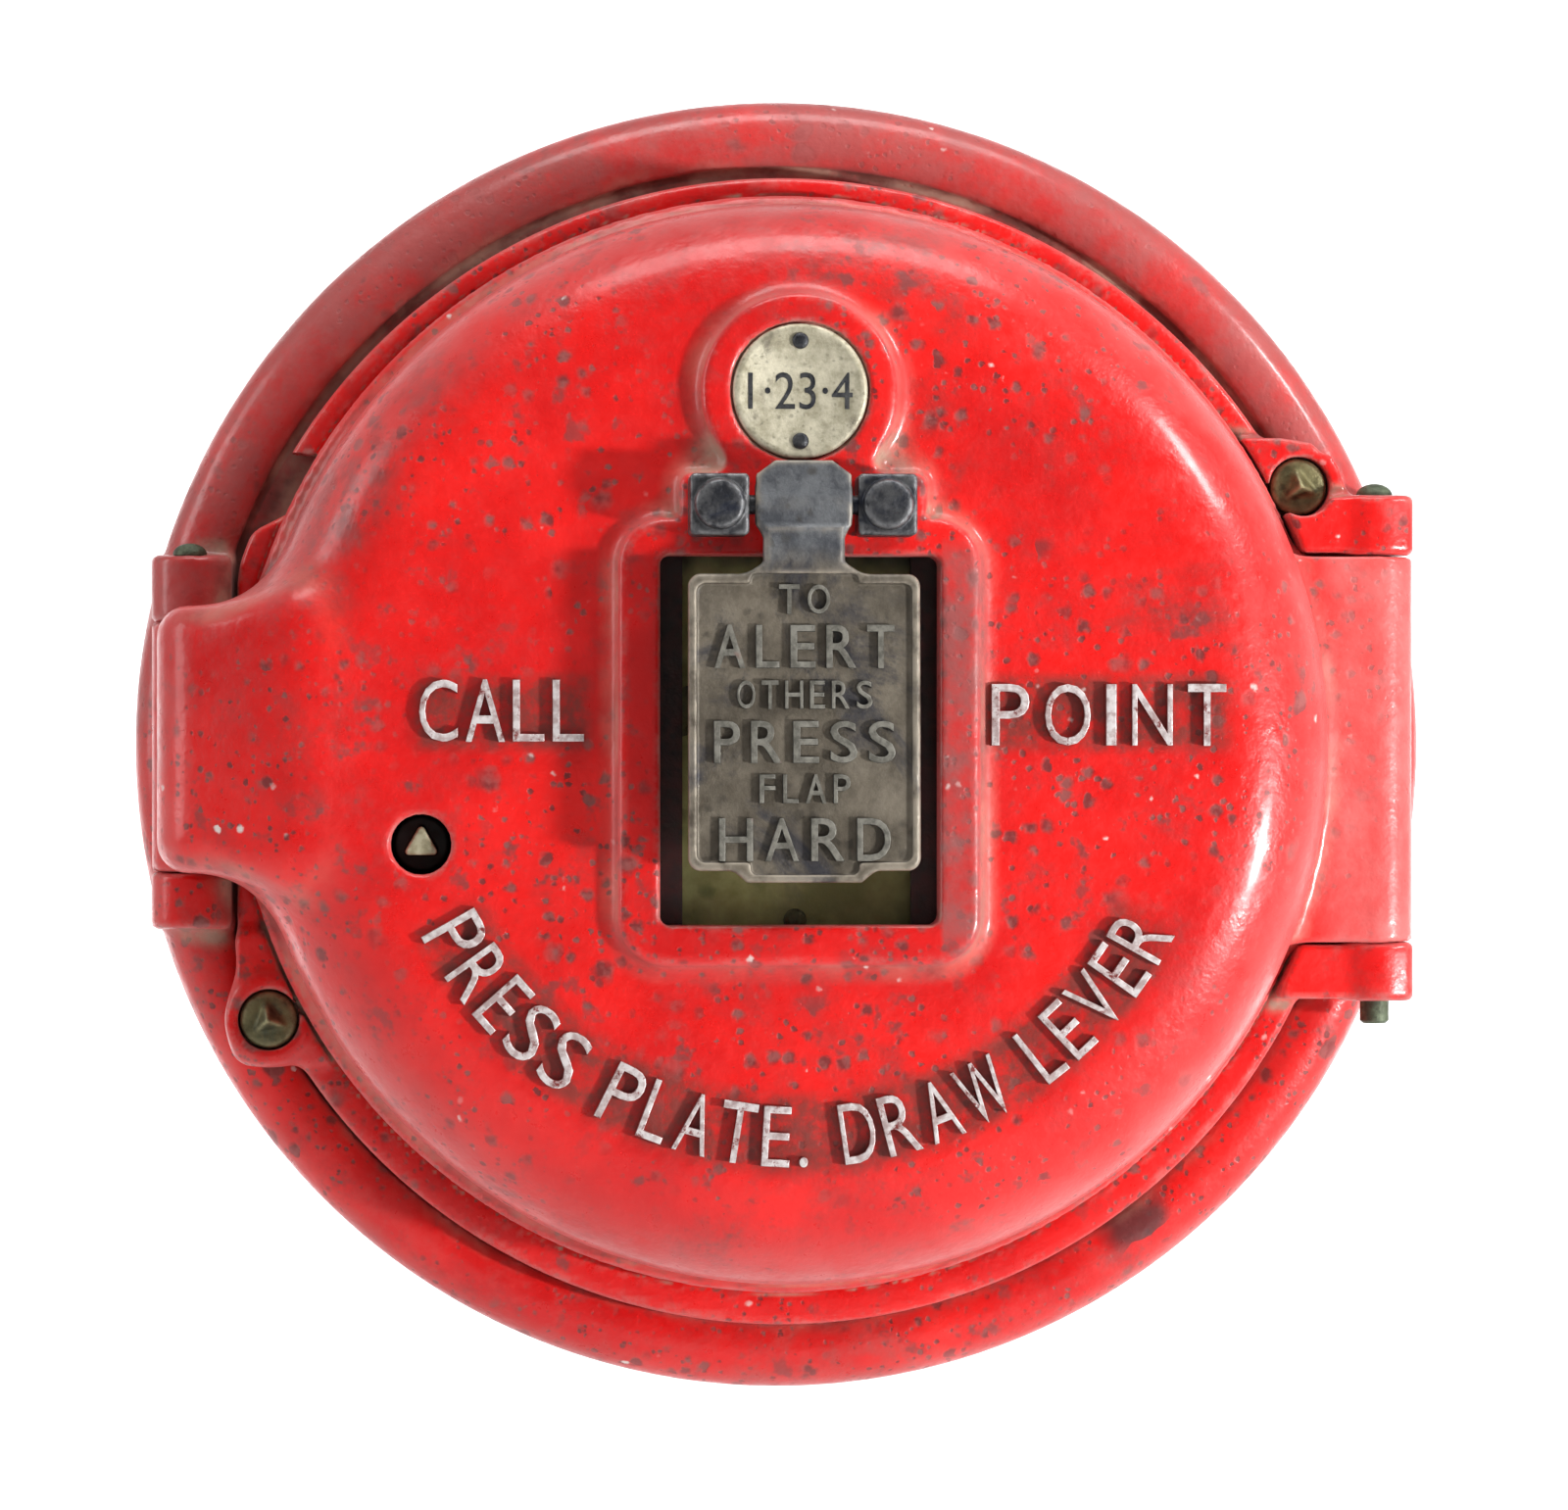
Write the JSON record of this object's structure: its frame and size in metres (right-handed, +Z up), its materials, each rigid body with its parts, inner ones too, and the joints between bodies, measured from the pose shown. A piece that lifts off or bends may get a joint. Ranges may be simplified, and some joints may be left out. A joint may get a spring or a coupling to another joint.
{
  "type": "manual call point",
  "caption": "Round cast-metal fire call point: a domed door with a flap over its window closes on a hinged frame that carries a pull-lever movement.",
  "frame": {"origin": "Centre of the wall box's flat back, on the wall plane.", "axes": "+Z is up as mounted. The front of the call point faces -Y, so +Y points into the wall. +X is to the right as seen from the front."},
  "size_m": [0.28, 0.1204, 0.28],
  "materials": {
    "red_paint": "worn gloss red enamel on cast metal, speckled with brown dirt",
    "aged_brass": "dull olive brass",
    "dark_bronze": "dark oxidised cast metal with bright worn edges",
    "nickel": "pale grey mottled metal",
    "steel": "plain steel",
    "ebonite": "black hard rubber",
    "spring_bronze": "bronze strip",
    "clear_glass": "clear flat glass",
    "gasket_rubber": "black rubber"
  },
  "bodies": {
    "case": {"back_box": "red_paint", "cable_bush": "ebonite", "frame_hinge_pin": "aged_brass", "terminal_block": "ebonite", "terminal_screw_1": "aged_brass", "terminal_screw_2": "aged_brass", "terminal_screw_3": "aged_brass", "terminal_screw_4": "aged_brass"},
    "frame": {"case_screw_lower": "aged_brass", "case_screw_upper": "aged_brass", "chassis_bar_left": "steel", "chassis_bar_right": "steel", "chassis_screw_1": "steel", "chassis_screw_2": "steel", "chassis_screw_3": "steel", "chassis_screw_4": "steel", "contact_block": "ebonite", "contact_spring_lower": "spring_bronze", "contact_spring_upper": "spring_bronze", "door_gasket": "gasket_rubber", "door_hinge_pin": "aged_brass", "front_plate": "aged_brass", "hinge_ring": "red_paint", "lever_stop": "steel", "pillar_1": "aged_brass", "pillar_2": "aged_brass", "pillar_3": "aged_brass", "plate_screw_1": "aged_brass", "plate_screw_2": "aged_brass", "plate_screw_3": "aged_brass", "rear_plate": "aged_brass"},
    "door": {"disc_pin_lower": "dark_bronze", "disc_pin_upper": "dark_bronze", "door_cover": "red_paint", "flap_pin": "dark_bronze", "glass_guide_left": "red_paint", "glass_guide_right": "red_paint", "glass_pane": "clear_glass", "guide_screw_left_lower": "steel", "guide_screw_left_upper": "steel", "guide_screw_right_lower": "steel", "guide_screw_right_upper": "steel", "hinge_block_left": "dark_bronze", "hinge_block_right": "dark_bronze", "lock_housing": "aged_brass", "number_disc": "nickel"},
    "flap": {"striker_flap": "dark_bronze"},
    "lock": {"key_spindle": "aged_brass", "lock_tongue": "steel", "tongue_nut": "steel"},
    "lever": {"pull_lever": "aged_brass", "lever_arbor": "steel", "sector_gear": "aged_brass", "spring_barrel": "aged_brass", "mainspring": "steel"},
    "code_train": {"code_arbor": "steel", "code_gear": "aged_brass", "code_wheel": "nickel"},
    "governor": {"fly_arbor": "steel", "fly_vane": "aged_brass"}
  },
  "joints": [
    {"name": "frame_swing", "type": "hinge", "parent": "case", "child": "frame", "pos_m": [-0.1273, -0.059, 0], "axis": [0, 0, -1], "range_deg": [0, 90]},
    {"name": "door_swing", "type": "hinge", "parent": "frame", "child": "door", "pos_m": [0.1273, -0.06, 0], "axis": [0, 0, 1], "range_deg": [0, 105]},
    {"name": "flap_swing", "type": "hinge", "parent": "door", "child": "flap", "pos_m": [0, -0.114, 0.0487], "axis": [-1, 0, 0], "range_deg": [-12, 50]},
    {"name": "lock_turn", "type": "hinge", "parent": "door", "child": "lock", "pos_m": [-0.0778, -0.075, -0.0207], "axis": [0, -1, 0], "range_deg": [0, 90]},
    {"name": "lever_pull", "type": "hinge", "parent": "frame", "child": "lever", "pos_m": [-0.044, -0.075, 0], "axis": [0, 1, 0], "range_deg": [0, 35], "stiffness_Nm_per_rad": 0.25, "springref_deg": -22.92},
    {"name": "code_wheel_spin", "type": "hinge", "parent": "frame", "child": "code_train", "pos_m": [-0.014, -0.075, 0], "axis": [0, 1, 0], "range_deg": [-142, 2]},
    {"name": "governor_spin", "type": "hinge", "parent": "frame", "child": "governor", "pos_m": [0.0052, -0.075, 0], "axis": [0, 1, 0], "range_deg": [-2, 424]}
  ],
  "couplings": [
    {"joint": "code_wheel_spin", "follows": "lever_pull", "ratio": -4},
    {"joint": "governor_spin", "follows": "lever_pull", "ratio": 12}
  ]
}
